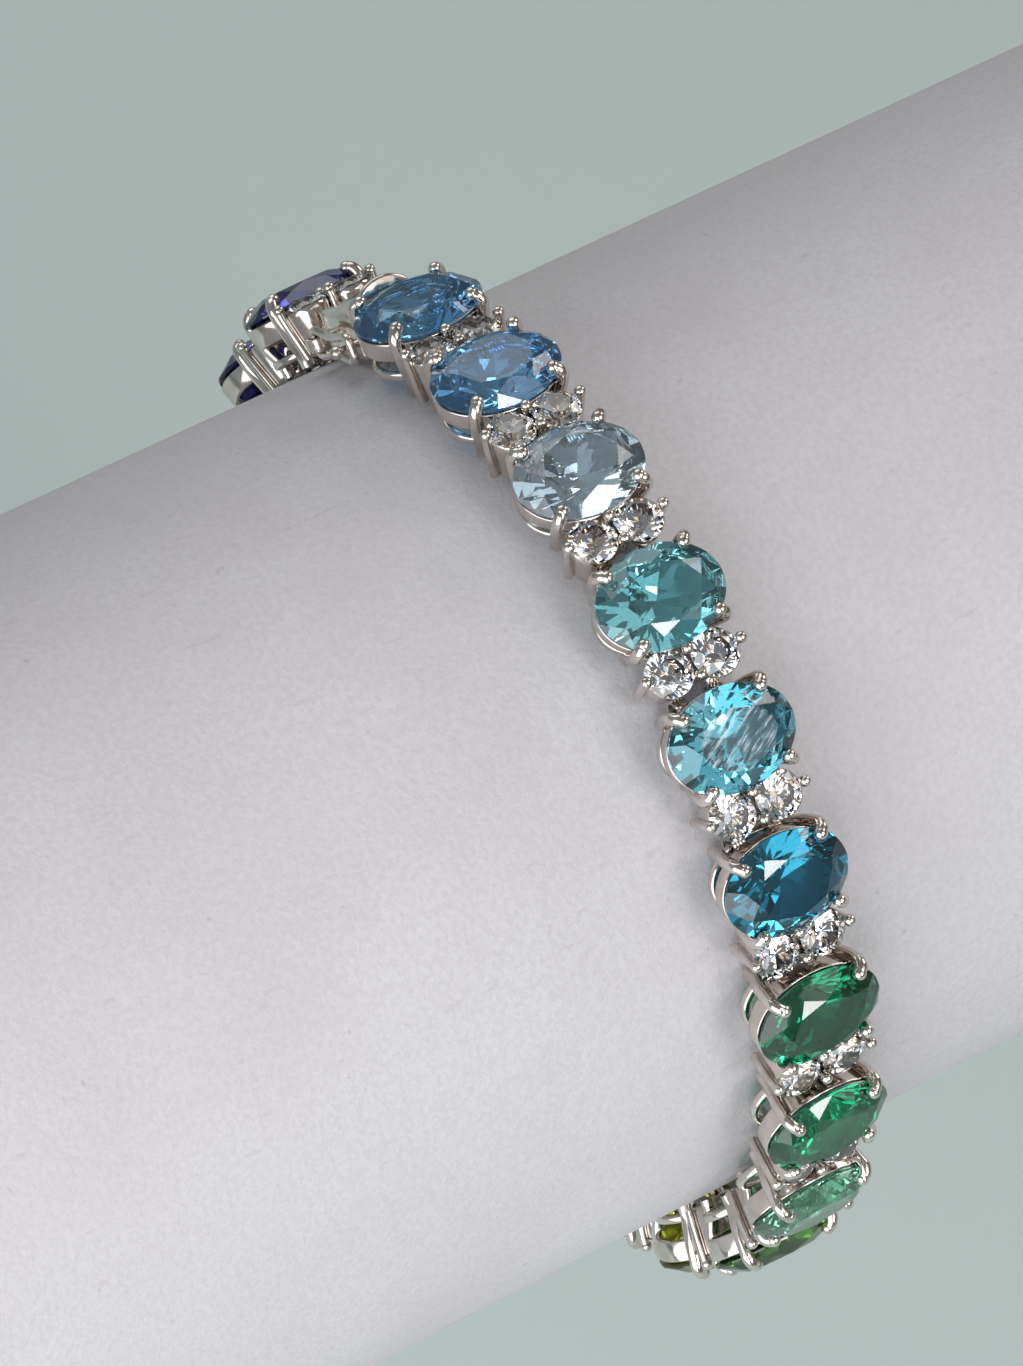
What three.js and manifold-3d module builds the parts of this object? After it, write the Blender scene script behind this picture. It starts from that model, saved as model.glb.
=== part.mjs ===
// A tennis bracelet worn on a plain display roll, in millimetres.
// X is the roll's axis, Z is up, and the origin is on that axis at the middle of the bracelet.
// Twenty-one links hold one oval stone and two small round stones each. Two eyes at the back of
// each link go round the base rail of the next, and a box clasp with a safety catch closes the loop.
import * as THREE from "three";
import { ConvexGeometry } from "three/addons/geometries/ConvexGeometry.js";
import { mergeVertices } from "three/addons/utils/BufferGeometryUtils.js";
import Module from "manifold-3d";

const wasm = await Module();
wasm.setup();

// How closely points are merged and flat stretches kept when pieces are joined
const MERGE_TOLERANCE = 1e-4;
const JOIN_TOLERANCE = 0.01;

// The loop. The clasp takes one link's place in it.
const LINKS = 21;
const FIRST_ANGLE = -25.5; // degrees from the top to the first link, towards -Y
const ROLL_CLEARANCE = 0.3;

// The oval stones
const OVAL_LENGTH = 8;
const OVAL_WIDTH = 6;
const OVAL_CROWN = 0.95;
const OVAL_PAVILION = 2.4;
const OVAL_GIRDLE = 0.2;
const OVAL_TABLE = 0.6; // the table's share of the stone's width
const CULET_HEIGHT = 1.3; // above the link's underside
const TABLE_CORNERS = 8;
const GIRDLE_CORNERS = 12;

// The pair of round stones behind each oval
const ROUND_DIAMETER = 2.9;
const ROUND_SPACING = 3.04;
const ROUND_CROWN = 0.45;
const ROUND_TABLE = 0.56;
const ROUND_DROP = 0.55; // how far their girdles lie under the oval's
const ROUND_TUCK = 0.15; // how far they reach under the oval's edge
const ROUND_SIDES = 8;
const CUP_BASE = 0.95; // radius of a round stone's cup at the bottom
const CUP_LIFT = 0.35;
const LINK_GAP = 0.48; // from the round stones' edge back to the hinge

// The oval's basket: a base rail and a seat band, joined by four prongs
const RING_SIDES = 8; // with a flat on the middle of each long side
const RAIL_INSET_X = 0.8; // from the stone's outline in to the rail's middle
const RAIL_INSET_Y = 0.7;
const RAIL_WIDTH = 0.44;
const RAIL_HEIGHT = 0.5;
const BAND_HEIGHT = 0.95;
const BAND_WALL = 0.28;
const BAND_DROP = 0.65; // from the girdle down to the band's top
const BAND_INSET = 0.08;
const BAND_TAPER = 0.22;
const STONE_CLEARANCE = 0.2;
const PRONG_AT = 48.7; // degrees round the oval from its long axis
const PRONG_WIDTH = 0.6;
const PRONG_THICK = 0.5;
const PRONG_RISE = 0.75; // above the girdle
const PRONG_REACH = 0.4; // over the stone
const SMALL_PRONG = 0.44;
const SMALL_PRONG_RISE = 0.5;
const SHARED_PRONG = 1.9; // the two between the stones are made as one rib of this length

// The hinge eyes
const EYE_OFFSET = 1.2;
const EYE_THICK = 0.6;
const EYE_OUTER = 0.95;
const BAR_HEIGHT = 0.4; // where the runner meets the rail of its own link
const EYE_HOLE = 0.68;
const EYE_SIDES = 6;

// The box clasp
const BOX_WIDTH = 4.6;
const BOX_HEIGHT = 2.85;
const BOX_LIFT = 0.15;
const BOX_WALL = 0.45;
const BOX_END_GAP = 0.3; // to the hinge eyes at both ends
const MOUTH_SET_BACK = 1.1;
const TONGUE_GAP = 0.3;
const TONGUE_LEAF = 0.3;
const TONGUE_NOSE = 1.2; // the folded leaf's flat end
const TONGUE_TAIL = 0.4; // the leaf's reach back over the eyes
const NECK_LENGTH = 0.2; // from an eye to the leaf
const THUMB_RISE = 1.2; // above the box's top
const THUMB_WIDTH = 4;
const THUMB_STEPS = 8;

// The safety catch on the clasp's side
const CATCH_OFFSET = 1.1; // outwards from the box's side
const CATCH_WIRE = 0.26;
const CATCH_HALF_HEIGHT = 1.1;
const CATCH_WAIST = 0.5;
const CATCH_SQUARENESS = 0.5;
const CATCH_HINGE_SET_BACK = 1.1;
const CATCH_STEPS = 24;
const CATCH_REACH = 0.9; // beyond the ball's post
const WIRE_SIDES = 6;
const KNUCKLE_HOLE = 0.44;
const KNUCKLE_RADIUS = 0.68;
const KNUCKLE_LENGTH = 0.7;
const KNUCKLE_SIDES = 10;
const POST_RADIUS = 0.22;
const POST_SIDES = 8;
const POST_RIB = 0.6; // the rib on the leaf that carries the ball's post
const BALL_RADIUS = 0.4;

// The display roll
const ROLL_LENGTH = 116;
const ROLL_SHIFT = -4; // its middle lies this far along X from the bracelet
const ROLL_SIDES = 40;

// What follows from those sizes
const PLACES = LINKS + 1;
const STEP = (2 * Math.PI) / PLACES;
const OVAL_A = OVAL_LENGTH / 2;
const OVAL_B = OVAL_WIDTH / 2;
const RAIL_A = OVAL_A - RAIL_INSET_X;
const RAIL_B = OVAL_B - RAIL_INSET_Y;
const RING_FACE = Math.cos(Math.PI / RING_SIDES); // a ring's faces lie at this share of its radius
const ROUND_R = ROUND_DIAMETER / 2;
const ROUND_X = ROUND_SPACING / 2;
const PIVOT_HEIGHT = EYE_OUTER;
const RAIL_BOTTOM = PIVOT_HEIGHT - RAIL_HEIGHT / 2;
const RAIL_TOP = PIVOT_HEIGHT + RAIL_HEIGHT / 2;
const GIRDLE_HEIGHT = CULET_HEIGHT + OVAL_PAVILION + OVAL_GIRDLE / 2;
const ROUND_HEIGHT = GIRDLE_HEIGHT - ROUND_DROP;

// How far the side of an ellipse lies from its long axis at a distance x along that axis.
const sideOf = (a, b, x) => b * Math.sqrt(1 - (x / a) ** 2);
// How far the outline of an ellipse lies from its middle in the direction of an angle.
const reachOf = (a, b, angle) => (a * b) / Math.hypot(b * Math.cos(angle), a * Math.sin(angle));

const RAIL_LEAD = RAIL_B * RING_FACE;
const PAIR_STEP = sideOf(OVAL_A, OVAL_B, ROUND_X) - ROUND_TUCK + ROUND_R;
const EYE_STEP = ROUND_R + LINK_GAP;
const PITCH = RAIL_LEAD + PAIR_STEP + EYE_STEP;
const OVAL_Y = PITCH / 2 - RAIL_LEAD;
const PAIR_Y = OVAL_Y - PAIR_STEP;
const EYE_Y = -PITCH / 2;
const BASE_RADIUS = PITCH / (2 * Math.tan(STEP / 2)) - PIVOT_HEIGHT;
const ROLL_RADIUS = BASE_RADIUS - ROLL_CLEARANCE;

// A closed geometry as a solid that can be joined and cut.
function solid(geometry) {
  const bare = geometry.index ? geometry.toNonIndexed() : geometry.clone();
  bare.deleteAttribute("normal");
  bare.deleteAttribute("uv");
  const merged = mergeVertices(bare, MERGE_TOLERANCE);
  return new wasm.Manifold(
    new wasm.Mesh({
      numProp: 3,
      vertProperties: new Float32Array(merged.attributes.position.array),
      triVerts: new Uint32Array(merged.index.array),
    }),
  );
}

const join = (geometries) => geometries.map(solid).reduce((whole, next) => whole.add(next));

function geometryOf(manifold) {
  const mesh = manifold.simplify(JOIN_TOLERANCE).getMesh();
  const geometry = new THREE.BufferGeometry();
  const places = new Float32Array(mesh.numVert * 3);
  for (let i = 0; i < mesh.numVert; i++) {
    places.set(mesh.vertProperties.subarray(i * mesh.numProp, i * mesh.numProp + 3), i * 3);
  }
  geometry.setAttribute("position", new THREE.BufferAttribute(places, 3));
  geometry.setIndex(new THREE.BufferAttribute(new Uint32Array(mesh.triVerts), 1));
  const flat = geometry.toNonIndexed();
  flat.computeVertexNormals();
  return flat;
}

// A box between two corners.
function block(low, high) {
  const size = high.map((value, i) => value - low[i]);
  const middle = high.map((value, i) => (value + low[i]) / 2);
  return new THREE.BoxGeometry(...size).translate(...middle);
}

// A closed profile of [radius, height] points turned round Z.
function turned(profile, sides, start = 0) {
  const points = profile.map(([radius, height]) => new THREE.Vector2(radius, height));
  return new THREE.LatheGeometry(points, sides, start).rotateX(Math.PI / 2);
}

// An outline of [x, y] points as a Shape.
const outline = (points) => new THREE.Shape(points.map(([x, y]) => new THREE.Vector2(x, y)));

// An upright plate: the outline's x runs outwards and its y runs up, and its width is centred on the plane.
function plate(shape, width) {
  const geometry = new THREE.ExtrudeGeometry(shape, { depth: width, bevelEnabled: false });
  return geometry.translate(0, 0, -width / 2).rotateX(Math.PI / 2);
}

// A flat oval ring. Each corner is [half length, half width, height], given round the ring's section.
function ovalRing(corners) {
  const ring = turned([...corners, corners[0]].map(([, b, z]) => [b, z]), RING_SIDES, Math.PI / RING_SIDES);
  const place = ring.attributes.position;
  for (let i = 0; i < place.count; i++) {
    const height = place.getZ(i);
    const width = Math.hypot(place.getX(i), place.getY(i));
    const distance = (corner) => Math.hypot(corner[1] - width, corner[2] - height);
    const corner = corners.reduce((best, next) => (distance(next) < distance(best) ? next : best));
    place.setX(i, (place.getX(i) * corner[0]) / corner[1]);
  }
  return ring.translate(0, OVAL_Y, 0);
}

// The rail that the next link's eyes go round.
function baseRail() {
  const half = RAIL_WIDTH / 2;
  return ovalRing([
    [RAIL_A - half, RAIL_B - half, RAIL_BOTTOM],
    [RAIL_A + half, RAIL_B + half, RAIL_BOTTOM],
    [RAIL_A + half, RAIL_B + half, RAIL_TOP],
    [RAIL_A - half, RAIL_B - half, RAIL_TOP],
  ]);
}

// The band under the stone's girdle. It slopes in towards the rail.
function seatBand() {
  const high = GIRDLE_HEIGHT - BAND_DROP;
  const low = high - BAND_HEIGHT;
  const top = BAND_INSET;
  const bottom = BAND_INSET + BAND_TAPER;
  return ovalRing([
    [OVAL_A - bottom - BAND_WALL, OVAL_B - bottom - BAND_WALL, low],
    [OVAL_A - bottom, OVAL_B - bottom, low],
    [OVAL_A - top, OVAL_B - top, high],
    [OVAL_A - top - BAND_WALL, OVAL_B - top - BAND_WALL, high],
  ]);
}

// One prong of the oval's basket, bent in over the stone, standing at an angle round the oval.
function ovalProng(angle) {
  const edge = Math.hypot(OVAL_A * Math.cos(angle), OVAL_B * Math.sin(angle));
  const direction = Math.atan2(OVAL_B * Math.sin(angle), OVAL_A * Math.cos(angle));
  const foot = RING_FACE * reachOf(RAIL_A, RAIL_B, direction);
  const inWall = BAND_INSET + BAND_WALL / 2;
  const seat = RING_FACE * reachOf(OVAL_A - inWall, OVAL_B - inWall, direction);
  const clear = edge + STONE_CLEARANCE;
  const top = GIRDLE_HEIGHT + PRONG_RISE;
  const tip = edge - PRONG_REACH;
  const shape = outline([
    [foot, 0],
    [foot + PRONG_THICK, 0],
    [clear + PRONG_THICK, GIRDLE_HEIGHT],
    [tip, top],
    [clear, GIRDLE_HEIGHT],
    [seat, GIRDLE_HEIGHT - BAND_DROP],
    [foot, RAIL_TOP],
  ]);
  return plate(shape, PRONG_WIDTH).rotateZ(direction).translate(0, OVAL_Y, 0);
}

// A round stone's crown on its cup, as one turned solid.
function cupWithStone(x) {
  const profile = [
    [0, CUP_LIFT],
    [CUP_BASE, CUP_LIFT],
    [ROUND_R, ROUND_HEIGHT],
    [ROUND_R * ROUND_TABLE, ROUND_HEIGHT + ROUND_CROWN],
    [0, ROUND_HEIGHT + ROUND_CROWN],
  ];
  return turned(profile, ROUND_SIDES).rotateZ(Math.PI / ROUND_SIDES).translate(x, PAIR_Y, 0);
}

// A prong beside the round stones, this long along the chain.
function smallProng(x, length) {
  const half = SMALL_PRONG / 2;
  return block(
    [x - half, PAIR_Y - length / 2, CUP_LIFT],
    [x + half, PAIR_Y + length / 2, ROUND_HEIGHT + SMALL_PRONG_RISE],
  );
}

// A hinge eye on a flat runner. Its tall neck ends at one place and its low bar goes on to another.
function hingeRunner(x, neckEnd, barEnd) {
  const points = [];
  for (let i = 0; i <= EYE_SIDES / 2; i++) {
    const angle = -Math.PI / 2 - (2 * Math.PI * i) / EYE_SIDES;
    points.push([EYE_OUTER * Math.cos(angle), PIVOT_HEIGHT + EYE_OUTER * Math.sin(angle)]);
  }
  points.push(
    [neckEnd - EYE_Y, PIVOT_HEIGHT + EYE_OUTER],
    [barEnd - EYE_Y, PIVOT_HEIGHT + BAR_HEIGHT / 2],
    [barEnd - EYE_Y, PIVOT_HEIGHT - BAR_HEIGHT / 2],
  );
  const shape = outline(points);
  const hole = [];
  for (let i = 0; i < EYE_SIDES; i++) {
    const angle = (2 * Math.PI * (i + 0.5)) / EYE_SIDES;
    hole.push(new THREE.Vector2(EYE_HOLE * Math.cos(angle), PIVOT_HEIGHT + EYE_HOLE * Math.sin(angle)));
  }
  shape.holes.push(new THREE.Path(hole));
  return plate(shape, EYE_THICK).rotateZ(Math.PI / 2).translate(x, EYE_Y, 0);
}

// The whole metal link, with its two round stones set in it.
function linkGeometry() {
  const angle = THREE.MathUtils.degToRad(PRONG_AT);
  const prongs = [angle, Math.PI - angle, Math.PI + angle, -angle].map(ovalProng);
  const outerX = ROUND_X + ROUND_R;
  const neckEnd = PAIR_Y - CUP_BASE / 2;
  return geometryOf(
    join([
      baseRail(),
      seatBand(),
      ...prongs,
      cupWithStone(-ROUND_X),
      cupWithStone(ROUND_X),
      smallProng(-outerX, SMALL_PRONG),
      smallProng(outerX, SMALL_PRONG),
      smallProng(0, SHARED_PRONG),
      hingeRunner(-EYE_OFFSET, neckEnd, OVAL_Y - RAIL_LEAD),
      hingeRunner(EYE_OFFSET, neckEnd, OVAL_Y - RAIL_LEAD),
    ]),
  );
}

// A cut oval: a table, a crown and a pavilion of flat facets.
function ovalStoneGeometry() {
  const points = [];
  const ring = (corners, share, height, turn) => {
    for (let i = 0; i < corners; i++) {
      const angle = (2 * Math.PI * (i + turn)) / corners;
      points.push(
        new THREE.Vector3(OVAL_A * share * Math.cos(angle), OVAL_B * share * Math.sin(angle), height),
      );
    }
  };
  ring(TABLE_CORNERS, OVAL_TABLE, GIRDLE_HEIGHT + OVAL_GIRDLE / 2 + OVAL_CROWN, 0.5);
  ring(GIRDLE_CORNERS, 1, GIRDLE_HEIGHT + OVAL_GIRDLE / 2, 0);
  ring(GIRDLE_CORNERS, 1, GIRDLE_HEIGHT - OVAL_GIRDLE / 2, 0);
  points.push(new THREE.Vector3(0, 0, CULET_HEIGHT));
  return new ConvexGeometry(points).translate(0, OVAL_Y, 0);
}

// Where the clasp's box begins and ends along the chain.
const BOX_FRONT = PITCH / 2 - EYE_OUTER - BOX_END_GAP;
const BOX_BACK = EYE_Y + EYE_OUTER + MOUTH_SET_BACK;
const BOX_TOP = BOX_LIFT + BOX_HEIGHT;
const CAVITY_LOW = BOX_LIFT + BOX_WALL;
const CAVITY_HIGH = BOX_TOP - BOX_WALL;
const CATCH_X = -BOX_WIDTH / 2 - CATCH_OFFSET;
const CATCH_HEIGHT = (CAVITY_LOW + CAVITY_HIGH) / 2;
const HINGE_Y = BOX_FRONT - CATCH_HINGE_SET_BACK;
const POST_Y = BOX_BACK - MOUTH_SET_BACK / 2;

// The box, open at the back for the tongue, with a bail in front for the last link's eyes
// and the safety catch's knuckle on its side.
function claspBoxGeometry() {
  const half = BOX_WIDTH / 2;
  const wall = RAIL_WIDTH / 2;
  const body = solid(block([-half, BOX_BACK, BOX_LIFT], [half, BOX_FRONT, BOX_TOP]));
  const cavity = solid(
    block(
      [BOX_WALL - half, BOX_BACK - BOX_WALL, CAVITY_LOW],
      [half - BOX_WALL, BOX_FRONT - BOX_WALL, CAVITY_HIGH],
    ),
  );
  const arms = [-half + wall, half - wall].map((x) =>
    solid(block([x - wall, BOX_FRONT - wall, RAIL_BOTTOM], [x + wall, PITCH / 2 + wall, RAIL_TOP])),
  );
  const bar = solid(block([-half, PITCH / 2 - wall, RAIL_BOTTOM], [half, PITCH / 2 + wall, RAIL_TOP]));
  const knuckleLow = CATCH_HEIGHT - KNUCKLE_LENGTH / 2;
  const knuckle = solid(
    turned(
      [
        [KNUCKLE_HOLE, 0],
        [KNUCKLE_RADIUS, 0],
        [KNUCKLE_RADIUS, KNUCKLE_LENGTH],
        [KNUCKLE_HOLE, KNUCKLE_LENGTH],
        [KNUCKLE_HOLE, 0],
      ],
      KNUCKLE_SIDES,
    ).translate(CATCH_X, HINGE_Y, knuckleLow),
  );
  const lug = solid(
    block(
      [CATCH_X + (KNUCKLE_HOLE + KNUCKLE_RADIUS) / 2, HINGE_Y - KNUCKLE_HOLE, knuckleLow],
      [-half + BOX_WALL / 2, HINGE_Y + KNUCKLE_HOLE, knuckleLow + KNUCKLE_LENGTH],
    ),
  );
  return geometryOf(body.subtract(cavity).add(arms[0]).add(arms[1]).add(bar).add(knuckle).add(lug));
}

// The folded tongue that springs open inside the box, its thumb tab, its eyes, and the catch's ball.
function claspTongueGeometry() {
  const leafHalf = BOX_WIDTH / 2 - BOX_WALL - TONGUE_GAP;
  const low = CAVITY_LOW + TONGUE_GAP;
  const high = CAVITY_HIGH - TONGUE_GAP;
  const tip = BOX_FRONT - BOX_WALL - TONGUE_GAP;
  const tail = EYE_Y + EYE_OUTER - TONGUE_TAIL;
  const neck = EYE_Y + EYE_OUTER + NECK_LENGTH;
  const thumb = BOX_BACK - TONGUE_GAP;
  const blade = outline([
    [tail, low],
    [tip, low],
    [tip, low + TONGUE_LEAF],
    [thumb, high],
    [thumb, BOX_TOP],
    [thumb - TONGUE_LEAF, BOX_TOP],
    [thumb - TONGUE_LEAF, high - TONGUE_LEAF],
    [tip - TONGUE_NOSE, low + TONGUE_LEAF],
    [tail, low + TONGUE_LEAF],
  ]);
  const arch = [];
  for (let i = 0; i <= THUMB_STEPS; i++) {
    const angle = (Math.PI * i) / THUMB_STEPS;
    arch.push([(THUMB_WIDTH / 2) * Math.cos(angle), BOX_TOP + THUMB_RISE * Math.sin(angle)]);
  }
  const tab = outline([...arch, [-leafHalf, high], [leafHalf, high]]);
  const postEnd = CATCH_X - CATCH_WIRE - BALL_RADIUS;
  const postRoot = POST_RIB / 2 - leafHalf;
  const post = new THREE.CylinderGeometry(POST_RADIUS, POST_RADIUS, postRoot - postEnd, POST_SIDES);
  const ball = new THREE.IcosahedronGeometry(BALL_RADIUS, 1).translate(postEnd, POST_Y, CATCH_HEIGHT);
  const rib = block(
    [-leafHalf, POST_Y - POST_RADIUS, low],
    [POST_RIB - leafHalf, POST_Y + POST_RADIUS, CATCH_HEIGHT + POST_RADIUS],
  );
  return geometryOf(
    join([
      plate(blade, 2 * leafHalf).rotateZ(Math.PI / 2),
      plate(tab, TONGUE_LEAF).translate(0, thumb - TONGUE_LEAF / 2, 0),
      hingeRunner(-EYE_OFFSET, neck, BOX_BACK),
      hingeRunner(EYE_OFFSET, neck, BOX_BACK),
      rib,
      post.rotateZ(Math.PI / 2).translate((postRoot + postEnd) / 2, POST_Y, CATCH_HEIGHT),
      ball,
    ]),
  );
}

// A figure-eight wire. Its straight end turns in the knuckle, and its other end goes round the ball's post.
function safetyCatchGeometry() {
  const back = POST_Y - CATCH_REACH;
  const middle = (HINGE_Y + back) / 2;
  const half = (HINGE_Y - back) / 2;
  const squared = (value) => Math.sign(value) * Math.abs(value) ** CATCH_SQUARENESS;
  const points = [];
  for (let i = 0; i <= CATCH_STEPS; i++) {
    const angle = (2 * Math.PI * i) / CATCH_STEPS;
    const along = squared(Math.cos(angle));
    const pinch = CATCH_WAIST + (1 - CATCH_WAIST) * along ** 2;
    const rise = squared(Math.sin(angle)) * pinch;
    points.push(
      new THREE.Vector3(CATCH_X, middle + half * along, CATCH_HEIGHT + CATCH_HALF_HEIGHT * rise),
    );
  }
  const section = outline(
    Array.from({ length: WIRE_SIDES }, (_, i) => {
      const angle = (2 * Math.PI * i) / WIRE_SIDES;
      return [CATCH_WIRE * Math.cos(angle), CATCH_WIRE * Math.sin(angle)];
    }),
  );
  const halves = [points.slice(0, CATCH_STEPS / 2 + 1), points.slice(CATCH_STEPS / 2)];
  const wires = halves.map((path) => {
    const extrudePath = new THREE.CatmullRomCurve3(path);
    return new THREE.ExtrudeGeometry(section, { steps: CATCH_STEPS / 2, extrudePath });
  });
  return geometryOf(join(wires));
}

// The plain roll that the bracelet is shown on.
function rollGeometry() {
  const roll = new THREE.CylinderGeometry(ROLL_RADIUS, ROLL_RADIUS, ROLL_LENGTH, ROLL_SIDES);
  return roll.rotateZ(Math.PI / 2).translate(ROLL_SHIFT, 0, 0);
}

// The stones' colours, from the clasp round the front of the loop and back.
const STONE_COLOURS = [
  0x1f62b0, 0x4f9fe0, 0x8fc4ee, 0x4fb3bd, 0x3fb2cc, 0x157f9f, 0x0c7a55,
  0x16946b, 0x6fc9a6, 0x2f5d18, 0x9aa81c, 0xd8c62a, 0xe6a22a, 0xe0702a,
  0xc9322c, 0xb51f4a, 0xc0479a, 0x8a3fae, 0x5a3aa8, 0x2c2f80, 0x20275f,
];
const silver = new THREE.MeshStandardMaterial({ color: 0xc9c7c4, roughness: 0.12, metalness: 1 });
const rollPaper = new THREE.MeshStandardMaterial({ color: 0xb9b4b8, roughness: 0.95, metalness: 0 });

const bracelet = new THREE.Group();
const angleOf = (place) => THREE.MathUtils.degToRad(FIRST_ANGLE) + place * STEP;

function addAt(place, name, geometry, material) {
  const arm = new THREE.Group();
  arm.rotation.x = angleOf(place);
  const mesh = new THREE.Mesh(geometry, material);
  mesh.name = name;
  mesh.position.z = BASE_RADIUS;
  arm.add(mesh);
  bracelet.add(arm);
}

const link = linkGeometry();
const stone = ovalStoneGeometry();
for (let i = 0; i < LINKS; i++) {
  const number = String(i + 1).padStart(2, "0");
  addAt(i, `link_${number}`, link, silver);
  const gem = new THREE.MeshStandardMaterial({ color: STONE_COLOURS[i], roughness: 0.05, metalness: 0 });
  addAt(i, `oval_stone_${number}`, stone, gem);
}
addAt(-1, "clasp_box", claspBoxGeometry(), silver);
addAt(-1, "clasp_tongue", claspTongueGeometry(), silver);
addAt(-1, "safety_catch", safetyCatchGeometry(), silver);

const roll = new THREE.Mesh(rollGeometry(), rollPaper);
roll.name = "display_roll";
bracelet.add(roll);

export default bracelet;
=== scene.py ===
"""A tennis bracelet of coloured oval stones on a plain display roll."""
import math

import bmesh
import bpy
import numpy as np
from mathutils import Matrix, Vector


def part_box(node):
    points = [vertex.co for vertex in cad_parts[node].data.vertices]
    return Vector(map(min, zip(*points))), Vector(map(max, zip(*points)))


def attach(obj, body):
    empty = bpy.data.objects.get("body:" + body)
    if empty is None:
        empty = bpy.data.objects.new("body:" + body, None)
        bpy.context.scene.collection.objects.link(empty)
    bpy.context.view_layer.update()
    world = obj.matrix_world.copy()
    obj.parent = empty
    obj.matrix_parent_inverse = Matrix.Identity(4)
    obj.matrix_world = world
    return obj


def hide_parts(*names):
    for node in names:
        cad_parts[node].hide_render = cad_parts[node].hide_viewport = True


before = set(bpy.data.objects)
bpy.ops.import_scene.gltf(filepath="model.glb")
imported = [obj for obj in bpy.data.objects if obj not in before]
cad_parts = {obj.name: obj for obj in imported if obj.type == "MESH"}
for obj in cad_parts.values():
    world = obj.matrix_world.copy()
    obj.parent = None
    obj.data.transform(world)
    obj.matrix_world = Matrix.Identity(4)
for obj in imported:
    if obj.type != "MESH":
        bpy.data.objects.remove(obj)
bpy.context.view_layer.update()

MM = 0.001

# The loop, in millimetres, as the solids have it
PLACES = 22
STEP = 2 * math.pi / PLACES
FIRST_ANGLE = math.radians(-25.5)
CLASP_PLACE = -1

# The stones. A table is given as its share of the stone's width.
OVAL_A, OVAL_B = 4.0, 3.0
OVAL_CROWN, OVAL_PAVILION, OVAL_GIRDLE, OVAL_TABLE = 0.95, 2.4, 0.2, 0.6
GIRDLE = 3.8
ROUND_R, ROUND_X = 1.45, 1.52
ROUND_CROWN, ROUND_PAVILION, ROUND_GIRDLE, ROUND_TABLE = 0.45, 1.2, 0.1, 0.56
ROUND_LEVEL = GIRDLE - 0.55
ROUND_TUCK = 0.15
TABLE_HEIGHT = GIRDLE + OVAL_GIRDLE / 2 + OVAL_CROWN

# The places of a link's pieces along the chain
LINK_GAP = 0.48
RAIL_A, RAIL_B = OVAL_A - 0.8, OVAL_B - 0.7
RAIL_CORNERS = 8
RAIL_LEAD = RAIL_B * math.cos(math.pi / RAIL_CORNERS)
PIVOT = 0.95
PAIR_STEP = OVAL_B * math.sqrt(1 - (ROUND_X / OVAL_A) ** 2) - ROUND_TUCK + ROUND_R
PITCH = RAIL_LEAD + PAIR_STEP + ROUND_R + LINK_GAP
OVAL_Y = PITCH / 2 - RAIL_LEAD
PAIR_Y = OVAL_Y - PAIR_STEP
EYE_Y = -PITCH / 2
BASE_RADIUS = PITCH / (2 * math.tan(STEP / 2)) - PIVOT

# A link's rail, band, prongs and runners
RAIL_WIDTH, RAIL_HEIGHT, RAIL_SOFTNESS = 0.46, 0.56, 0.16
BAND_WIDTH, BAND_HEIGHT, BAND_SOFTNESS = 0.28, 1.3, 0.1
BAND_INSET, BAND_LEAN, BAND_DROP = 0.26, 0.17, 0.98
PRONG_AT = math.radians(48.7)
PRONG_RADII, PRONG_TIP = [0.42, 0.41, 0.39, 0.36], 0.41
SMALL_PRONG_RADII, SMALL_PRONG_TIP = [0.3, 0.28, 0.27], 0.36
OUTER_PRONG_OUT, OUTER_PRONG_AHEAD = 0.17, 0.08
SHARED_PRONG_STEP = 0.84
RUNNER_WIDTH, RUNNER_HEIGHT, RUNNER_SOFTNESS = 0.7, 0.5, 0.12

# The hinge eyes and their ribbed straps
EYE_X = 1.2
EYE_WIDTH, EYE_OUT, EYE_IN = 0.8, 0.92, 0.66
EYE_RIBS, EYE_RIB_DEPTH, EYE_BEVEL = 4, 0.05, 0.03
STRAP_LOW = -0.3

# The clasp's box and bail
BOX_HALF, BOX_LOW, BOX_TOP, BOX_WALL = 2.3, 0.15, 3.0, 0.4
BOX_FRONT = PITCH / 2 - 1.25
BOX_BACK = EYE_Y + 2.05
BAIL_INSET, BAIL_WIRE, BAIL_TURN = 0.35, 0.26, 0.4

# The clasp's tongue and thumb tab
LEAF_INSET, LEAF_LOW, LEAF_HIGH = 0.75, 0.9, 2.25
LEAF_THICK, LEAF_SOFTNESS = 0.26, 0.1
TAB_HALF, TAB_RISE, TAB_THICK = 2.0, 1.7, 0.4

# The safety catch, its knuckle, and the ball's post that it goes over
CATCH_X, CATCH_LEVEL, CATCH_HALF, CATCH_WIRE, CATCH_WAIST = -3.4, 1.575, 1.1, 0.27, 0.5
CATCH_HINGE_Y = BOX_FRONT - 1.1
KNUCKLE_HOLE, KNUCKLE_RADIUS, KNUCKLE_HALF = 0.44, 0.68, 0.35
KNUCKLE_BEVEL_IN, KNUCKLE_BEVEL_OUT = 0.05, 0.06
POST_Y = BOX_BACK - 0.55
POST_RADIUS, POST_LEAD, BALL_RADIUS = 0.22, 0.36, 0.42
CATCH_BACK_Y = POST_Y - 0.9

# How finely round things are made, and the angle in degrees over which an edge stays sharp
RING_STEPS, EYE_STEPS, TURNED_SIDES, KNUCKLE_SIDES, ROLL_SIDES = 80, 36, 44, 28, 240
CATCH_STEPS, CATCH_SIDES, ARCH_STEPS = 120, 14, 25
SHARP, ROLL_SHARP = 40, 50
MERGE = 0.001

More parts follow.
